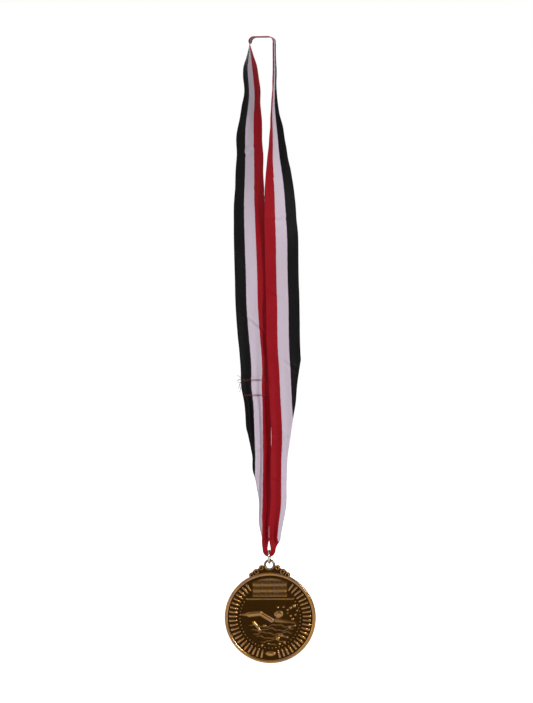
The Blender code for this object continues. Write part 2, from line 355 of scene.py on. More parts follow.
def dome(x, z, centre, width, depth, height):
    away = ((x - centre[0]) / width) ** 2 + ((z - centre[1]) / depth) ** 2
    return height * np.sqrt(np.clip(1 - away, 0, None))


def swimmer(x, z):
    """A crawl swimmer low in the water: one arm bent over to the left, the capped head beside
    the shoulder, and the line of the back running out to the right."""
    arm = limb(x, z, (1.0, -1.7), (-6.6, 2.9), 1.7, 1.55, 0.66)
    arm = np.maximum(arm, limb(x, z, (-6.6, 2.9), (-13.8, 2.2), 1.75, 1.9, 0.72))
    arm = np.maximum(arm, limb(x, z, (-13.8, 2.4), (-19.2, 2.2), 1.7, 0.7, 0.60))
    hollow = limb(x, z, (-3.0, -2.4), (-15.0, -1.2), 1.3, 0.7, 0.30)
    back = limb(x, z, (4.0, -1.6), (16.5, -3.4), 1.9, 0.9, 0.46)
    head = dome(x, z, (5.7, 2.3), 3.2, 2.7, 0.72)
    cap_edge = np.abs(np.hypot(x - 7.6, z - 3.9) - 3.4)
    head = head - 0.13 * np.exp(-((cap_edge / 0.26) ** 2)) * (head > 0)
    goggle = dome(x, z, (3.5, 1.7), 0.75, 0.5, 0.78)
    return np.maximum.reduce([arm, back, head, goggle]) - hollow


def spray(x, z):
    """Drops and flecks of water thrown up round the swimmer, each a small bead."""
    height = np.zeros_like(x)
    for px, pz, size in (
        (5.2, 6.9, 0.9), (8.9, 7.0, 0.8), (11.6, 5.2, 0.9), (13.7, 6.6, 1.1), (16.1, 7.8, 1.3),
        (16.8, 2.0, 0.9), (13.6, 1.2, 0.9), (14.9, -0.9, 1.0), (11.4, 3.0, 0.7), (17.8, 4.8, 0.8),
        (12.8, -6.0, 1.0), (-3.8, -5.1, 1.0), (4.9, -13.6, 1.3), (9.2, -16.4, 0.9),
        (16.4, -5.2, 0.8), (6.0, -17.3, 0.9), (-5.6, -18.2, 0.9), (-1.4, -17.0, 0.7),
        (10.9, -12.9, 0.8),
    ):
        height = np.maximum(height, dome(x, z, (px, pz), size, size * 0.9, 0.45 + 0.2 * size))
    return height


def water(x, z):
    """Crests of water below the swimmer, fading towards the beads, and two sharp bow waves."""
    height = np.zeros_like(x)
    for k in range(6):
        level = -5.2 - 2.5 * k
        line = level + 0.75 * np.sin(x * 0.42 + 1.7 * k) + 0.3 * np.sin(x * 1.15 + k)
        reach = math.sqrt(max(18.4**2 - level**2, 1.0))
        fade = np.clip((reach - np.abs(x - 1.5)) / 3.5, 0, 1)
        height = np.maximum(height, 0.42 * fade * np.exp(-(((z - line) / 0.62) ** 2)))
    bow = limb(x, z, (-10.8, -3.0), (-6.9, -8.2), 1.1, 0.75, 0.70)
    bow = np.maximum(bow, limb(x, z, (6.0, -11.0), (9.4, -12.6), 0.9, 0.6, 0.58))
    return np.maximum(height, bow)


def panel(x, z):
    """The plain panel above: a strong line under a raised plate with broad shallow flutes."""
    line = 0.55 * np.exp(-(((z - 12.5) / 0.62) ** 2)) * np.clip((16.4 - np.abs(x)) / 0.8, 0, 1)
    flutes = 0.10 * np.cos((z - 14.2) * 2 * math.pi / 3.9)
    side = np.clip((11.6 - np.abs(x)) / 0.6, 0, 1)
    inside = side * np.clip((z - 13.6) / 0.5, 0, 1) * np.clip((26.6 - np.hypot(x, z)) / 0.6, 0, 1)
    return np.maximum(line, inside * (0.36 + flutes))


def ornament(x, z):
    """The small plain cartouche at the foot of the border."""
    return dome(x, z, (0, -23.7), 3.7, 1.8, 0.74)


bpy.ops.mesh.primitive_grid_add(
    x_subdivisions=round(2 * field_radius / relief_step),
    y_subdivisions=round(2 * field_radius / relief_step),
    size=2 * field_radius,
    location=(0, field_y, disc_z),
    rotation=(math.pi / 2, 0, 0),
)
relief = settle(bpy.context.object, "front_relief")
begin_edit(relief)
pick_faces(relief, lambda centre, normal: radius_at(centre) > field_radius - relief_margin)
bpy.ops.mesh.delete(type="FACE")
end_edit()
points = np.array([v.co for v in relief.data.vertices])
across = points[:, 0] / MM
up = (points[:, 2] - disc_z) / MM
shapes = (swimmer, spray, water, panel, ornament)
raised = 0.02 + np.maximum.reduce([shape(across, up) for shape in shapes])
raised -= 0.1 * np.clip((np.hypot(across, up) - field_radius / MM + 0.9) / 0.6, 0, 1)
for vertex, height in zip(relief.data.vertices, raised):
    vertex.co.y = field_y - height * MM
begin_edit(relief, "VERT")
bpy.ops.mesh.select_all(action="SELECT")
bpy.ops.mesh.vertices_smooth(factor=0.5, repeat=smoothings)
bpy.ops.mesh.select_all(action="DESELECT")
bpy.ops.mesh.select_non_manifold()
bpy.ops.mesh.extrude_edges_move(TRANSFORM_OT_translate={"value": (0, relief_root, 0)})
bpy.ops.mesh.edge_face_add()
end_edit(recalculate=True)
smooth_shade(relief, 180)
finish(relief, gold, "medal")


# ---- Ring of bars --------------------------------------------------------------------------
# The border of short radial bars round the relief, open at the panel on top and at the small
# cartouche at the foot, with a row of beads inside it. Both are cast with the disc, their tops
# rubbed bright.

bar_inner = 0.715 * disc_radius
bar_outer = 0.91 * disc_radius
bar_width = 2.0 * MM
bar_height = 0.66 * MM
bar_root = 0.2 * MM
bead_circle = 0.665 * disc_radius
border_pitch = 6.6
panel_half_angle = 29.0
bead_gap_half_angle = 52.0
foot_half_angle = 8.0


def copies_round(obj, name, angles):
    """Copies of a piece turned about the disc's axis to each angle, joined in one mesh."""
    centre = Vector((0, 0, disc_z))
    made = []
    for angle in angles:
        copy = obj.copy()
        copy.data = obj.data.copy()
        bpy.context.collection.objects.link(copy)
        turn = Matrix.Rotation(-math.radians(angle), 4, "Y")
        copy.data.transform(Matrix.Translation(centre) @ turn @ Matrix.Translation(-centre))
        made.append(copy)
    bpy.data.objects.remove(obj)
    select_only(*made)
    bpy.ops.object.join()
    joined = bpy.context.object
    joined.name = joined.data.name = name
    return joined


def angles_beside_panel(pitch, half_angle, foot_gap=0.0):
    """Even angles all round except at the panel on top, and at the foot if a gap is left there."""
    count = int((360 - 2 * half_angle) / pitch)
    first = 270 - pitch * (count - 1) / 2
    angles = [first + pitch * k for k in range(count)]
    return [angle for angle in angles if abs(angle - 270) >= foot_gap]


bpy.ops.mesh.primitive_cube_add(
    size=1,
    location=((bar_inner + bar_outer) / 2, field_y - (bar_height - bar_root) / 2, disc_z),
    scale=(bar_outer - bar_inner, bar_height + bar_root, bar_width),
)
bar = settle(bpy.context.object, "bar")
begin_edit(bar)
pick_faces(bar, lambda centre, normal: normal.x < -0.9)
bpy.ops.transform.resize(value=(1, 1, 0.62))
pick_faces(bar, lambda centre, normal: normal.y < -0.9)
bpy.ops.transform.resize(value=(0.9, 1, 0.6))
end_edit()
begin_edit(bar, "EDGE")
pick_edges(bar, lambda a, b: min(-a.y, -b.y) > -field_y + bar_root)
bpy.ops.mesh.bevel(offset=0.28 * MM, segments=3, affect="EDGES")
end_edit(recalculate=True)
bar_angles = angles_beside_panel(border_pitch, panel_half_angle, foot_half_angle)
bars = copies_round(bar, "border_bars", bar_angles)
smooth_shade(bars, 50)
finish(bars, gold, "medal")

bpy.ops.mesh.primitive_uv_sphere_add(
    segments=14,
    ring_count=8,
    radius=0.62 * MM,
    location=(bead_circle, field_y, disc_z),
    scale=(1, 0.75, 1),
)
bead = settle(bpy.context.object, "bead")
bead_angles = angles_beside_panel(border_pitch, bead_gap_half_angle)
beads = copies_round(bead, "border_beads", bead_angles)
smooth_shade(beads, 180)
finish(beads, gold, "medal")


# ---- Scroll shoulders and loop -------------------------------------------------------------
# The ornament on top of the disc, two stepped scrolls that carry the eye for the ring. It is
# thinner than the rim, cast in one with the disc, and its eye is rounded and rubbed bright.

eye_hole = 2.25 * MM
eye_wall = 1.5 * MM
eye_z = medal_high.z - eye_hole - eye_wall
disc_top = disc_z + disc_radius
shoulder_y = 0.9 * MM
curl_y = 1.36 * MM
curl_wire = 0.42 * MM
shoulder_gold = antique_gold("antique_gold_shoulders", 0.62 * MM, 1.15 * MM)


def arc_points(centre, radius, first, last, count):
    """Points of a round stretch of an outline, between two angles in degrees."""
    points = []
    for k in range(count):
        a = math.radians(first + (last - first) * k / (count - 1))
        points.append((centre[0] + radius * math.cos(a), centre[1] + radius * math.sin(a)))
    return points


outline = [
    (0, disc_top - 1.2 * MM),
    (7.0 * MM, disc_top - 2.0 * MM),
    (12.9 * MM, disc_top - 4.1 * MM),
]
outline += arc_points((12.0 * MM, disc_top - 1.7 * MM), 1.6 * MM, -20, 100, 6)
outline += arc_points((8.9 * MM, disc_top + 0.2 * MM), 2.0 * MM, 40, 110, 6)
outline += arc_points((5.4 * MM, eye_z - 1.9 * MM), 1.7 * MM, -10, 115, 7)
outline += arc_points((0, eye_z), eye_hole + 0.5 * eye_wall, -14, -90, 7)
mesh = bpy.data.meshes.new("shoulders")
mesh.from_pydata([(x, -shoulder_y, z) for x, z in outline], [], [list(range(len(outline)))])
shoulders = bpy.data.objects.new("shoulders", mesh)
bpy.context.collection.objects.link(shoulders)
begin_edit(shoulders)
bpy.ops.mesh.select_all(action="SELECT")
bpy.ops.mesh.extrude_region_move(TRANSFORM_OT_translate={"value": (0, 2 * shoulder_y, 0)})
bpy.ops.mesh.select_all(action="DESELECT")
pick_faces(shoulders, lambda centre, normal: abs(centre.x) < 1e-7)
bpy.ops.mesh.delete(type="FACE")
end_edit(recalculate=True)
apply_modifier(shoulders, "MIRROR", use_mirror_merge=True, merge_threshold=0.00001)
begin_edit(shoulders, "EDGE")
pick_edges(
    shoulders,
    lambda a, b: abs(a.y - b.y) < 1e-7
    and max(abs(a.x), abs(b.x)) > 1e-6
    and a.z + b.z > 2 * disc_z,
)
bpy.ops.mesh.bevel(offset=0.16 * MM, segments=2, affect="EDGES")
bpy.ops.mesh.select_all(action="SELECT")
bpy.ops.mesh.remove_doubles(threshold=0.000002)
end_edit(recalculate=True)
begin_edit(shoulders)
pick_faces(shoulders, lambda centre, normal: abs(normal.y) > 0.99)
bpy.ops.mesh.inset(thickness=0.5 * MM)
bpy.ops.mesh.inset(thickness=0.2 * MM, depth=-0.3 * MM)
end_edit()
smooth_shade(shoulders, 40)
finish(shoulders, shoulder_gold, "medal")


def scroll_curl(x, z, radius):
    """A raised curl of the scroll, a small ring half sunk in the plate on both faces."""
    bpy.ops.mesh.primitive_torus_add(
        major_segments=28,
        minor_segments=10,
        major_radius=radius,
        minor_radius=curl_wire,
        location=(x, 0, z),
        rotation=(math.pi / 2, 0, 0),
    )
    bpy.ops.transform.resize(value=(1, curl_y / curl_wire, 1))
    return settle(bpy.context.object, "curl")


curls = []
for side in (-1, 1):
    curls.append(scroll_curl(side * 11.7 * MM, disc_top - 1.9 * MM, 1.15 * MM))
    curls.append(scroll_curl(side * 8.6 * MM, disc_top + 0.4 * MM, 1.25 * MM))
    curls.append(scroll_curl(side * 5.3 * MM, eye_z - 2.0 * MM, 1.05 * MM))
select_only(*curls)
bpy.ops.object.join()
curls = settle(bpy.context.object, "scroll_curls")
smooth_shade(curls, 180)
finish(curls, shoulder_gold, "medal")

bpy.ops.mesh.primitive_torus_add(
    major_segments=64,
    minor_segments=20,
    major_radius=eye_hole + eye_wall / 2,
    minor_radius=eye_wall / 2,
    location=(0, 0, eye_z),
    rotation=(math.pi / 2, 0, 0),
)
bpy.ops.transform.resize(value=(1, 1.3, 1))
eye = settle(bpy.context.object, "ring_eye")
smooth_shade(eye, 180)
finish(eye, shoulder_gold, "medal")


# ---- Jump ring -----------------------------------------------------------------------------
# A split ring of round plated wire, bent closed by hand through the medal's eye and round the
# gathered ribbon. Its two cut ends almost meet, low at the back.

ring_low, ring_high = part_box("jump_ring")
wire_radius = ring_high.x
ring_radius = (ring_high.y - ring_low.y) / 2 - wire_radius
ring_z = (ring_low.z + ring_high.z) / 2
split_degrees = 3.0
split_below_back = 50.0


def ring_wire_material():
    material, tree, shader = new_material("pale_plated_wire")
    place = add_node(tree, "ShaderNodeTexCoord").outputs["Object"]
    drawn = add_noise(tree, place, 900.0, 4.0)
    colour = add_mix(tree, drawn, (0.95, 0.89, 0.80, 1), (0.76, 0.66, 0.54, 1))
    tree.links.new(colour, shader.inputs["Base Color"])
    shader.inputs["Metallic"].default_value = 1.0
    rough = add_range(tree, drawn, 0.0, 1.0, 0.14, 0.34)
    tree.links.new(rough, shader.inputs["Roughness"])
    tree.links.new(add_bump(tree, drawn, 0.3, 0.00003), shader.inputs["Normal"])
    return material


bpy.ops.mesh.primitive_circle_add(
    vertices=20,
    radius=wire_radius,
    fill_type="NGON",
    location=(0, ring_radius, ring_z),
)
ring = settle(bpy.context.object, "jump_ring_wire")
begin_edit(ring)
bpy.ops.mesh.select_all(action="SELECT")
bpy.ops.transform.rotate(
    value=math.radians(split_below_back - split_degrees / 2),
    orient_axis="X",
    center_override=(0, 0, ring_z),
)
bpy.ops.mesh.spin(
    steps=90,
    angle=math.radians(360 - split_degrees),
    center=(0, 0, ring_z),
    axis=(1, 0, 0),
)
end_edit(recalculate=True)
smooth_shade(ring, 50)
finish(ring, ring_wire_material(), "ring")
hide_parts("jump_ring")


# ---- Neck ribbon ---------------------------------------------------------------------------
# One strip of woven polyester, 22 mm wide, in three equal stripes. It is bent over the hook,
# hangs in two legs that turn to face the front, and is pleated small to pass through the ring.

ribbon_width = 22.0 * MM
cloth_thickness = 0.36 * MM
crown_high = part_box("ribbon_crown")[1]
lap_low, lap_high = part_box("ribbon_lap_end")
wire_top_z = ring_high.z - wire_radius
bundle_inside = wire_radius + 0.42 * MM
columns = 60
row_length = 1.25 * MM
gather_passes = 12
gather_from = 298
gather_reach = 24
loose_from = 8
loose_to = 326
loose_reach = 30

# Each leg from its top down, in mm and degrees: depth below the hook; turn, 0 edge-on and 90 facing
# the front; x and y of the red edge; where the outer part folds behind, from the red edge; radius
# of that fold; steepness of the small pleats; curl of the outer edge towards the front.
left_leg = (
    (3.1, 3, -7.7, -11.0, 24, 0.8, 0, 0),
    (12, 16, -5.0, -10.6, 24, 0.8, 0, 0),
    (20, 29, -2.8, -9.6, 24, 0.8, 0, 0),
    (38, 35, -1.1, -9.0, 24, 0.8, 10, 0),
    (60, 52, -0.4, -6.4, 24, 0.8, 5, 0),
    (79, 58, 0.1, -5.4, 24, 0.8, 0, 0),
    (103, 68, 0.2, -3.1, 24, 0.8, 0, 0),
    (120, 78, 0.9, -1.1, 24, 0.8, 0, 0),
    (138, 88, 1.4, 0.8, 24, 0.8, 0, 0),
    (158, 91, 1.8, 1.3, 24, 0.8, 0, 0),
    (175, 91, 1.9, 1.3, 24, 0.8, 6, 0),
    (196, 90, 2.9, 1.3, 24, 0.8, 12, 0),
    (206, 90, 3.6, 1.3, 24, 0.8, 16, 0),
    (217, 90, 3.8, 1.3, 24, 0.8, 22, 0),
    (228, 90, 3.0, 1.3, 23.5, 0.8, 34, 0),
    (239, 90, 2.6, 1.3, 22.5, 0.8, 51, 0),
    (254, 90, 2.2, 1.3, 21.0, 0.8, 59, 0),
    (264, 90, 2.1, 1.3, 18.8, 0.8, 62, 0),
    (275, 90, 1.9, 1.3, 16.8, 0.8, 65, 0),
    (283, 90, 1.7, 1.1, 15.0, 0.7, 65, 0),
    (291, 90, 1.45, 0.7, 12.6, 0.7, 64, 0),
    (305, 90, 1.15, 0.1, 9.9, 0.6, 64, 0),
    (312, 90, 0.4, -0.4, 9.0, 0.5, 70, 0),
    (320, 90, -0.05, -0.8, 8.2, 0.45, 78, 0),
    (328, 90, -0.1, -1.0, 6.0, 0.35, 78, 0),
)
right_leg = (
    (3.1, 0, 7.9, -11.0, 24, 0.8, 0, 0),
    (12, 0, 7.8, -11.0, 24, 0.8, 0, 0),
    (20, 1, 7.7, -11.0, 24, 0.8, 0, 4),
    (38, 3, 7.2, -11.0, 24, 0.8, 0, 12),
    (50, 9, 6.5, -10.9, 24, 0.8, 0, 26),
    (60, 18, 5.6, -10.5, 24, 0.8, 0, 36),
    (79, 35, 3.0, -9.2, 24, 0.8, 0, 32),
    (90, 47, 1.6, -8.2, 24, 0.8, 0, 20),
    (103, 59, 0.6, -6.6, 24, 0.8, 0, 8),
    (118, 69, 0.2, -5.0, 24, 0.8, 0, 0),
    (138, 88, 0.0, -1.7, 24, 0.8, 0, 0),
    (158, 91, 0.0, -1.2, 24, 0.8, 0, 0),
    (175, 92, 0.3, -1.2, 24, 0.8, 0, 0),
    (196, 90, 0.2, -1.2, 23.5, 0.8, 0, 0),
    (206, 90, 0.4, -1.2, 22.2, 0.7, 4, 0),
    (217, 90, 1.0, -1.2, 19.8, 0.6, 6, 0),
    (228, 90, 1.4, -1.2, 17.8, 0.6, 8, 0),
    (239, 90, 1.8, -1.2, 16.4, 0.6, 10, 0),
    (247, 90, 2.2, -1.2, 14.6, 0.6, 12, 0),
    (254, 90, 2.5, -1.2, 13.2, 0.6, 16, 0),
    (264, 90, 2.5, -1.2, 11.6, 0.6, 18, 0),
    (275, 90, 1.9, -1.2, 10.6, 0.6, 20, 0),
    (291, 90, 1.6, -1.2, 10.2, 0.6, 22, 0),
    (305, 90, 1.3, -1.2, 10.2, 0.6, 22, 0),
    (312, 90, 0.6, -1.2, 10.0, 0.55, 26, 0),
    (320, 90, 0.1, -1.2, 9.6, 0.5, 44, 0),
    (328, 90, 0.1, -1.2, 7.8, 0.4, 60, 0),
)
bundle = (2.7, 0.27, 0, 0)


def through(points, value):
    """All the columns of a list, at a value of its first one, on a smooth curve."""
    keys = [p[0] for p in points]
    i = max(0, min(len(points) - 2, int(np.searchsorted(keys, value)) - 1))
    p0 = np.array(points[max(i - 1, 0)], float)
    p1 = np.array(points[i], float)
    p2 = np.array(points[i + 1], float)
    p3 = np.array(points[min(i + 2, len(points) - 1)], float)
    span = p2[0] - p1[0]
    t = (value - p1[0]) / span
    out = (p2 - p0) / max(p2[0] - p0[0], 1e-9) * span
    into = (p3 - p1) / max(p3[0] - p1[0], 1e-9) * span
    row = (2 * t**3 - 3 * t**2 + 1) * p1 + (t**3 - 2 * t**2 + t) * out
    return row + (3 * t**2 - 2 * t**3) * p2 + (t**3 - t**2) * into


def pleats(section, depth, side):
    """Across the strip, in mm, from its red edge: how far out and how far back each point lies
    for a fold's place and radius, the pleats' steepness and the edge's curl. The pleats wander
    a little down the leg."""
    begin, radius, steep, curl = section
    drift = 0.15 * noise.noise(Vector((depth * 0.02, side, 0)))
    full = ribbon_width / MM
    fine = 8
    step = full / (columns * fine)
    out = [0.0]
    back = [0.0]
    flat_reach = 0.0
    first = radius
    for k in range(columns * fine):
        u = (k + 0.5) * step
        past = u - begin
        if past <= 0:
            wave = math.sin(2 * math.pi * (u / full * 3 + drift))
            angle = math.radians(steep * wave + curl * (0.5 - u / full))
            flat_reach = out[-1]
            first = max(radius, (max(back) - back[-1] + 0.7) / 2)
        else:
            straight = max(flat_reach - radius, 0.0)
            cycle, within = divmod(past + math.pi * (radius - first), math.pi * radius + straight)
            if past < math.pi * first:
                angle = past / first
            else:
                turned = min(within / radius, math.pi)
                angle = turned if cycle % 2 == 0 else math.pi - turned
        out.append(out[-1] + math.cos(angle) * step)
        back.append(back[-1] + math.sin(angle) * step)
    return np.array(out[::fine]), np.array(back[::fine])


def leg_frame(table, depth, side):
    """Red edge, direction from red to black, direction of the front, and section of a leg."""
    row = through(table, depth)
    turn = math.radians(row[1])
    red_edge = Vector((row[2] * MM, row[3] * MM, -depth * MM))
    outward = Vector((side * math.sin(turn), math.cos(turn), 0))
    front = Vector((side * math.cos(turn), -math.sin(turn), 0))
    return red_edge, outward, front, tuple(float(v) for v in row[4:])


def leg_rows(table, first, last, side):
    count = max(2, round(abs(last - first) * MM / row_length))
    rows = []
    for k in range(count):
        rows.append(leg_frame(table, first + (last - first) * k / count, side))
    return rows


def neck_rows(table, side, steps=28):
    """Between a leg's last station and the ring, where the pleats draw in to the bundle."""
    start, outward, front, section = leg_frame(table, table[-1][0], side)
    goal = Vector((side * bundle_inside, bundle_front, wire_top_z))
    rows = []
    for k in range(steps):
        t = k / steps
        ease = t * t * (3 - 2 * t)
        place = start.lerp(goal, ease)
        place.z = start.z + (goal.z - start.z) * t
        drawn = tuple(a + (b - a) * ease for a, b in zip(section, bundle))
        rows.append((place, Vector((side, 0, 0)), front, drawn))
    return rows


open_flat = (24.0, 0.8, 0.0, 0.0)
bundle_front = -1.6 * MM
lap_top = -lap_high.z / MM
lap_bottom = -lap_low.z / MM
cut_end = lap_bottom + 1.5
step_from = lap_top - 14
step_reach = 10
step_back = 0.62 * MM

# From the hidden end behind the lap, up the left leg and over the hook. Towards the lap this
# layer steps back behind the one that is sewn on it.
route = leg_rows(left_leg, cut_end, left_leg[0][0], -1)
for red_edge, outward, front, section in route:
    behind = min(max((-red_edge.z / MM - step_from) / step_reach, 0), 1)
    red_edge.y += step_back * behind * behind * (3 - 2 * behind)
half_hook = crown_high.x - 0.4 * MM
bend = 3.3 * MM
crown_top = 0.5 * cloth_thickness
across_hook = Vector((0, 1, 0))
front_edge = Vector((0, -0.5 * ribbon_width, 0))
for side, first in ((-1, 180), (1, 90)):
    for k in range(9):
        a = math.radians(first - 90 * k / 8)
        corner = Vector((side * (half_hook - bend), 0, crown_top - bend)) + front_edge
        front = Vector((math.cos(a), 0, math.sin(a)))
        route.append((corner + front * bend, across_hook, front, open_flat))
    if side < 0:
        for k in range(1, 8):
            place = Vector(((bend - half_hook) * (1 - k / 4), 0, crown_top)) + front_edge
            route.append((place, across_hook, Vector((0, 0, 1)), open_flat))

# Down the right leg, under the ring's wire and up the left leg to the end that shows.
route += leg_rows(right_leg, right_leg[0][0], right_leg[-1][0], 1)
route += neck_rows(right_leg, 1)
for k in range(17):
    a = math.pi * k / 16
    outward = Vector((math.cos(a), 0, -math.sin(a)))
    place = Vector((0, bundle_front, wire_top_z)) + outward * bundle_inside
    route.append((place, outward, Vector((0, -1, 0)), bundle))
route += neck_rows(left_leg, -1)[:0:-1]
route += leg_rows(left_leg, left_leg[-1][0], lap_top, -1)
route.append(leg_frame(left_leg, lap_top, -1))

# Creases set in the cloth: leg side, depth, distance from the red edge, reach along it, slope
# of the fold line and depth of the dent, in mm.
creases = (
    (-1, 74, 11.5, 5.0, 0.5, 1.05),
    (-1, 101, 4.0, 5.0, -0.6, 0.5),
    (-1, 150, 16.0, 6.0, 0.7, 0.55),
    (-1, 188, 9.0, 9.0, -0.9, 0.95),
    (-1, 270, 9.0, 6.0, 0.4, 0.9),
    (1, 92, 8.0, 5.0, 0.7, 0.5),
    (1, 118, 11.0, 6.0, -0.2, 1.0),
    (1, 168, 6.0, 7.0, 0.6, 0.5),
    (1, 216, 17.0, 6.0, 0.8, 1.0),
    (1, 262, 8.0, 6.0, -0.5, 0.8),
    (1, 290, 4.0, 5.0, 0.6, 0.5),
    (1, 311, 7.0, 5.0, 0.3, 0.8),
)


def crease_depth(side, depth, across):
    """How far the cloth is pressed in at a point of a leg, in mm."""
    total = 0.0
    for crease_side, place, middle, reach, slope, dent in creases:
        if crease_side != side:
            continue
        along = depth - place - slope * (across - middle)
        inside = math.exp(-(((across - middle) / reach) ** 2))
        total += dent * inside * along / 1.6 * math.exp(0.5 - (along / 1.6) ** 2)
    return total


def cloth_lift(run, depth, side, across):
    """How far loose cloth stands off its even course, in mm, at a distance out from the red edge.
    Folded layers share it, so that they stay in order."""
    edge = abs(across / (ribbon_width / MM) * 2 - 1) ** 3
    place = Vector((across * 0.05, run * 0.035, 7.3))
    drift = noise.noise(place) * 0.75 + noise.noise(place * 2.7) * 0.28 * (0.4 + edge)
    flutter = noise.noise(Vector((run * 0.09, 3.1 + side, edge))) * 0.55 * edge
    return drift + flutter - crease_depth(side, depth, across)


def ribbon_mesh():
    """The strip as one open sheet, with its own map: mm across from the red edge, mm along."""
    bm = bmesh.new()
    layer = bm.loops.layers.uv.new("weave")
    grid = []
    travel = []
    gathered = []
    run = 0.0
    before = None
    for red_edge, outward, front, section in route:
        place = red_edge + outward * 0.5 * ribbon_width * min(section[0] / 22, 1)
        if before is not None:
            run += (place - before).length / MM
        before = place
        travel.append(run)
        depth = -red_edge.z / MM
        drawn = min(max((depth - gather_from) / gather_reach, 0), 1)
        gathered.append(drawn if outward.z == 0 else 0.3)
        side = -1 if place.x < 0 else 1
        out, back = pleats(section, depth, side)
        loose = min(max((depth - loose_from) / loose_reach, 0), 1)
        loose *= min(max((loose_to - depth) / loose_reach, 0), 1)
        row = []
        for k in range(columns + 1):
            lift = loose * cloth_lift(run, depth, side, out[k])
            point = red_edge + outward * (out[k] * MM) + front * ((lift - back[k]) * MM)
            point.z += loose * 0.25 * MM * noise.noise(Vector((out[k] * 0.3, run * 0.1, 1.7)))
            row.append(bm.verts.new(point))
        grid.append(row)
    # Threads run straight through the gathers, so each is evened out along its length there.
    points = np.array([[vert.co for vert in row] for row in grid])
    share = 0.5 * np.array(gathered)[1:-1, None, None]
    for _ in range(gather_passes):
        points[1:-1] += share * (0.5 * (points[:-2] + points[2:]) - points[1:-1])
    for row, places in zip(grid, points):
        for vert, place in zip(row, places):
            vert.co = place
    for i in range(len(grid) - 1):
        for k in range(columns):
            face = bm.faces.new((grid[i][k], grid[i + 1][k], grid[i + 1][k + 1], grid[i][k + 1]))
            spots = ((k, i), (k, i + 1), (k + 1, i + 1), (k + 1, i))
            for loop, (column, station) in zip(face.loops, spots):
                loop[layer].uv = (column * ribbon_width / MM / columns, travel[station])
    mesh = bpy.data.meshes.new("neck_ribbon")
    bm.to_mesh(mesh)
    bm.free()
    return mesh, run * MM


def weave_group():
    """Ribbed plain weave on the strip's own map: height of the threads, and a mask for painted shade
    in the gaps between them.
    """
    group, entry, result = new_group(
        "ribbed_weave",
        [
            ("NodeSocketVector", "Map", (0, 0, 0)),
            ("NodeSocketFloat", "Rib pitch", 0.5),
            ("NodeSocketFloat", "Thread pitch", 0.3),
        ],
        [("NodeSocketFloat", "Height"), ("NodeSocketFloat", "Shade")],
    )
    split = add_node(group, "ShaderNodeSeparateXYZ", {0: entry.outputs["Map"]})
    waves = []
    for axis, pitch in (("Y", "Rib pitch"), ("X", "Thread pitch")):
        turns = add_math(group, "DIVIDE", split.outputs[axis], entry.outputs[pitch])
        wave = add_math(group, "SINE", add_math(group, "MULTIPLY", turns, math.pi))
        waves.append(add_math(group, "ABSOLUTE", wave))
    rib = add_math(group, "MULTIPLY", waves[0], 0.7)
    height = add_math(group, "MULTIPLY_ADD", waves[1], 0.3, rib)
    slub = add_noise(group, entry.outputs["Map"], 0.8, 5.0, 0.7)
    uneven = add_math(group, "MULTIPLY_ADD", slub, 0.5, height)
    group.links.new(uneven, result.inputs["Height"])
    group.links.new(add_range(group, uneven, 0.2, 1.1), result.inputs["Shade"])
    return group


weave = weave_group()


def ribbon_material():
    """Stripes by the distance from the red edge, on a ribbed weave with a faint satin sheen."""
    material, tree, shader = new_material("striped_ribbon")
    flat = add_node(tree, "ShaderNodeUVMap", uv_map="weave").outputs["UV"]
    threads = add_node(tree, "ShaderNodeGroup", node_tree=weave)
    tree.links.new(flat, threads.inputs["Map"])
    wander = add_noise(tree, flat, 0.35, 3.0)
    split = add_node(tree, "ShaderNodeSeparateXYZ", {0: flat})
    shifted = add_math(tree, "MULTIPLY_ADD", wander, 0.35, split.outputs["X"])
    place = add_range(tree, shifted, 0.17, 22.17)
    stripes = add_node(tree, "ShaderNodeValToRGB", {"Fac": place})
    ramp = stripes.color_ramp
    red = (0.345, 0.003, 0.010, 1)
    white = (0.66, 0.555, 0.64, 1)
    black = (0.0055, 0.0045, 0.0055, 1)
    ramp.elements[0].position = 0.328
    ramp.elements[0].color = red
    ramp.elements[1].position = 0.338
    ramp.elements[1].color = white
    for position, colour in ((0.662, white), (0.672, black)):
        ramp.elements.new(position).color = colour
    # Painted shade: the stripe colour is darkened where the weave lies low, in the gaps between the
    # threads, and lightened a little on their tops as a faint painted highlight.
    painted_weave_shading = add_range(tree, threads.outputs["Shade"], 0.0, 1.0, 0.72, 1.06)
    shaded = add_mix(tree, 1.0, stripes.outputs["Color"], painted_weave_shading, "MULTIPLY")
    tree.links.new(shaded, shader.inputs["Base Color"])
    rough = add_range(tree, threads.outputs["Shade"], 0.0, 1.0, 0.78, 0.52)
    tree.links.new(rough, shader.inputs["Roughness"])
    shader.inputs["Sheen Weight"].default_value = 0.02
    shader.inputs["Sheen Roughness"].default_value = 0.35
    shader.inputs["Specular IOR Level"].default_value = 0.15
    normal = add_bump(tree, threads.outputs["Height"], 0.8, 0.00008)
    tree.links.new(normal, shader.inputs["Normal"])
    return material


mesh, ribbon_length = ribbon_mesh()
ribbon = bpy.data.objects.new("neck_ribbon", mesh)
bpy.context.collection.objects.link(ribbon)
apply_modifier(ribbon, "SOLIDIFY", thickness=cloth_thickness, offset=0, use_even_offset=False)
smooth_shade(ribbon, 60)
ribbon.data.materials.append(ribbon_material())
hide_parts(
    "ribbon_crown",
    "ribbon_left_leg",
    "ribbon_right_leg",
    "ribbon_lap_end",
    "ribbon_tip",
)
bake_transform(ribbon)


# ---- Seam ----------------------------------------------------------------------------------
# The strip is closed to a loop by a lap sewn on the left leg: two rows of dark red zigzag
# thread through both layers, with loose thread ends left at the outer edge.

thread_radius = 0.22 * MM
frayed_radius = 0.13 * MM
zigzag_height = 0.55
stitch_step = 0.7
stitch_lift = 0.34


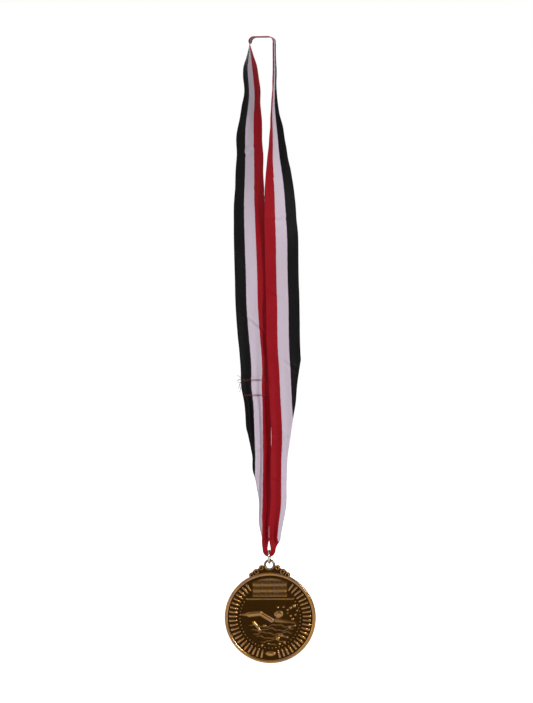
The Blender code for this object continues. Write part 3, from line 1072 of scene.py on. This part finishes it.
def thread_material():
    material, tree, shader = new_material("seam_thread")
    place = add_node(tree, "ShaderNodeTexCoord").outputs["Object"]
    twist = add_noise(tree, place, 2500.0, 3.0)
    colour = add_mix(tree, twist, (0.26, 0.005, 0.02, 1), (0.09, 0.004, 0.012, 1))
    tree.links.new(colour, shader.inputs["Base Color"])
    shader.inputs["Roughness"].default_value = 0.6
    shader.inputs["Sheen Weight"].default_value = 0.3
    tree.links.new(add_bump(tree, twist, 0.6, 0.00004), shader.inputs["Normal"])
    return material


def thread_piece(name, runs, radius):
    """Threads that follow lists of points, made solid."""
    curve = bpy.data.curves.new(name, "CURVE")
    curve.dimensions = "3D"
    curve.bevel_depth = radius
    curve.bevel_resolution = 2
    curve.use_fill_caps = True
    for points in runs:
        spline = curve.splines.new("POLY")
        spline.points.add(len(points) - 1)
        for target, point in zip(spline.points, points):
            target.co = (*point, 1)
    obj = bpy.data.objects.new(name, curve)
    bpy.context.collection.objects.link(obj)
    select_only(obj)
    bpy.ops.object.convert(target="MESH")
    begin_edit(obj, "VERT")
    bpy.ops.mesh.select_all(action="SELECT")
    bpy.ops.mesh.remove_doubles(threshold=0.000002)
    end_edit(recalculate=True)
    smooth_shade(obj, 60)
    return obj


def on_left_leg(depth, across, lift):
    """A point over the left leg's front, at a distance from the red edge, both in mm."""
    red_edge, outward, front, section = leg_frame(left_leg, depth, -1)
    out, back = pleats(section, depth, -1)
    spots = np.linspace(0, ribbon_width / MM, columns + 1)
    reach = float(np.interp(across, spots, out))
    sunk = float(np.interp(across, spots, back))
    stand = lift + cloth_lift(travel_at(depth), depth, -1, reach) - sunk
    return red_edge + outward * (reach * MM) + front * (stand * MM)


def travel_at(depth):
    """Distance along the strip, in mm, at a depth of the left leg's lower stretch."""
    return ribbon_length / MM - (depth - lap_top)


thread = thread_material()
for name, below in (("seam_thread_upper", 2.0), ("seam_thread_lower", 12.0)):
    points = []
    for k in range(29):
        wave = zigzag_height if k % 2 else -zigzag_height
        points.append(on_left_leg(lap_top + below + wave, 1.0 + stitch_step * k, stitch_lift))
    row = thread_piece(name + "_stitches", [points], thread_radius)
    row.data.materials.append(thread)
    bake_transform(row)
    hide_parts(name)

# Loose ends: depth below the lap's top, reach outward, rise and sway, in mm.
loose_ends = (
    (0.3, 2.9, 1.2, 0.6),
    (0.9, 2.2, -0.9, -0.5),
    (1.7, 3.1, -1.6, 0.8),
    (2.3, 1.5, -2.6, -0.7),
    (3.0, 2.7, -0.4, -0.4),
    (4.4, 2.2, -3.4, 0.6),
    (5.3, 1.2, -1.9, -0.6),
    (7.1, 1.8, -3.0, 0.5),
)
runs = []
for below, reach, fall, sway in loose_ends:
    root = on_left_leg(lap_top + below, 21.4, 0.15)
    points = []
    for k in range(9):
        t = k / 8
        bow = 0.8 * sway * math.sin(2.4 * t)
        points.append(root + Vector((-reach * t, (sway - 0.4) * t, fall * t * t + bow)) * MM)
    runs.append(points)
frayed = thread_piece("seam_loose_ends", runs, frayed_radius)
frayed.data.materials.append(thread)
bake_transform(frayed)


# ---- Room ----------------------------------------------------------------------------------
# A plain pale studio: floor, soft lamps and a camera a little above and to the right.

drop = -cad_box[0].z
floor_z = cad_box[0].z - 0.055
floor_material, floor_tree, floor_shader = new_material("pale_floor")
speckle = add_node(floor_tree, "ShaderNodeTexNoise", {"Scale": 3.0, "Detail": 3.0}).outputs["Fac"]
floor_colour = add_mix(floor_tree, speckle, (0.86, 0.86, 0.86, 1), (0.80, 0.80, 0.80, 1))
floor_tree.links.new(floor_colour, floor_shader.inputs["Base Color"])
floor_shader.inputs["Roughness"].default_value = 0.85
# The camera sees the floor as white as the room; nothing is lit or mirrored by that glow.
seen_directly = add_node(floor_tree, "ShaderNodeLightPath").outputs["Is Camera Ray"]
floor_glow = add_math(floor_tree, "MULTIPLY", seen_directly, 0.78)
floor_shader.inputs["Emission Color"].default_value = (1, 1, 1, 1)
floor_tree.links.new(floor_glow, floor_shader.inputs["Emission Strength"])
bpy.ops.mesh.primitive_plane_add(size=12, location=(0, 0, floor_z))
floor = bpy.context.object
floor.name = "floor"
floor.data.materials.append(floor_material)


def aim(obj, place, target):
    obj.location = place
    obj.rotation_euler = (Vector(target) - Vector(place)).to_track_quat("-Z", "Y").to_euler()


def add_lamp(name, place, size, power):
    lamp = bpy.data.lights.new(name, "AREA")
    lamp.shape = "RECTANGLE"
    lamp.size = size[0]
    lamp.size_y = size[1]
    lamp.energy = power
    obj = bpy.data.objects.new(name, lamp)
    bpy.context.collection.objects.link(obj)
    aim(obj, place, (0, 0, -0.5 * drop))


add_lamp("key", (1.2, -1.45, 0.55), (0.35, 0.5), 21.0)
add_lamp("fill", (-1.6, -1.4, 0.1), (1.2, 1.6), 6.0)
add_lamp("back", (-0.6, 1.8, 0.7), (1.2, 1.2), 10.5)

world = bpy.data.worlds.new("studio")
bpy.context.scene.world = world
world.use_nodes = True
tree = world.node_tree
tree.nodes.clear()
output = add_node(tree, "ShaderNodeOutputWorld")
seen = add_node(tree, "ShaderNodeBackground", {"Color": (1, 1, 1, 1), "Strength": 1.0})
lit = add_node(tree, "ShaderNodeBackground", {"Color": (0.97, 0.97, 1.0, 1), "Strength": 0.31})
mirrored = add_node(tree, "ShaderNodeBackground", {"Strength": 1.0})
sky = add_node(tree, "ShaderNodeTexCoord").outputs["Generated"]
sky_side = add_node(
    tree, "ShaderNodeVectorMath", {0: sky, 1: (-0.75, 0.0, 0.66)}, operation="DOT_PRODUCT"
)
sky_tone = add_range(tree, sky_side.outputs["Value"], 0.0, 1.0, 0.02, 0.5)
tree.links.new(sky_tone, mirrored.inputs["Color"])
ray = add_node(tree, "ShaderNodeLightPath")
soft = add_node(tree, "ShaderNodeMixShader", {0: ray.outputs["Is Glossy Ray"]})
tree.links.new(lit.outputs[0], soft.inputs[1])
tree.links.new(mirrored.outputs[0], soft.inputs[2])
blend = add_node(tree, "ShaderNodeMixShader", {0: ray.outputs["Is Camera Ray"]})
tree.links.new(soft.outputs[0], blend.inputs[1])
tree.links.new(seen.outputs[0], blend.inputs[2])
tree.links.new(blend.outputs[0], output.inputs["Surface"])

azimuth = math.radians(5.0)
elevation = math.radians(3.0)
distance = 2.4
target = Vector((0.0, 0, -0.5 * drop))
lens = bpy.data.cameras.new("camera")
camera = bpy.data.objects.new("camera", lens)
bpy.context.collection.objects.link(camera)
toward = Vector(
    (
        math.sin(azimuth) * math.cos(elevation),
        -math.cos(azimuth) * math.cos(elevation),
        math.sin(elevation),
    )
)
aim(camera, target + toward * distance, target)
camera.rotation_euler.rotate_axis("Z", math.radians(-0.8))
lens.sensor_fit = "VERTICAL"
lens.sensor_height = 24.0
margin = 1.12
lens.lens = lens.sensor_height * distance / (margin * (drop + cad_box[1].z))
bpy.context.scene.camera = camera
bpy.context.scene.view_settings.view_transform = "Standard"
